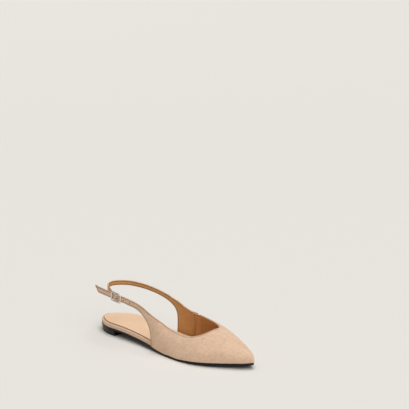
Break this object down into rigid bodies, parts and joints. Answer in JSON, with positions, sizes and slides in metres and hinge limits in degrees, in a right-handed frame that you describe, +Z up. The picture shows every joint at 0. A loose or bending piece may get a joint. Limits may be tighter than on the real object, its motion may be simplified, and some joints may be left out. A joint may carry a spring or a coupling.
{
  "type": "sling back flat",
  "caption": "Pointed flat shoe with a cut-away back, a hollow shaped upper, a sling strap round the heel and a small side buckle.",
  "frame": {"origin": "middle of the shoe's box, on the floor under the sole", "axes": "+X from the heel to the toe, +Y towards the inner side of the foot, +Z up"},
  "size_m": [0.2574, 0.0766, 0.064],
  "materials": {
    "suede": "beige suede with a short soft nap, lined with tan leather",
    "sock_leather": "smooth peach leather, stitched round its edge",
    "black_rubber": "black, smooth, a little glossy at the edges",
    "buckle_metal": "polished silver-coloured plating"
  },
  "bodies": {
    "root": {"outsole": "black_rubber", "heel_block": "black_rubber", "insole_board": "suede", "sock": "sock_leather", "upper_vamp": "suede", "upper_quarter_strap": "suede", "buckle_frame": "buckle_metal", "buckle_prong": "buckle_metal"}
  },
  "joints": []
}
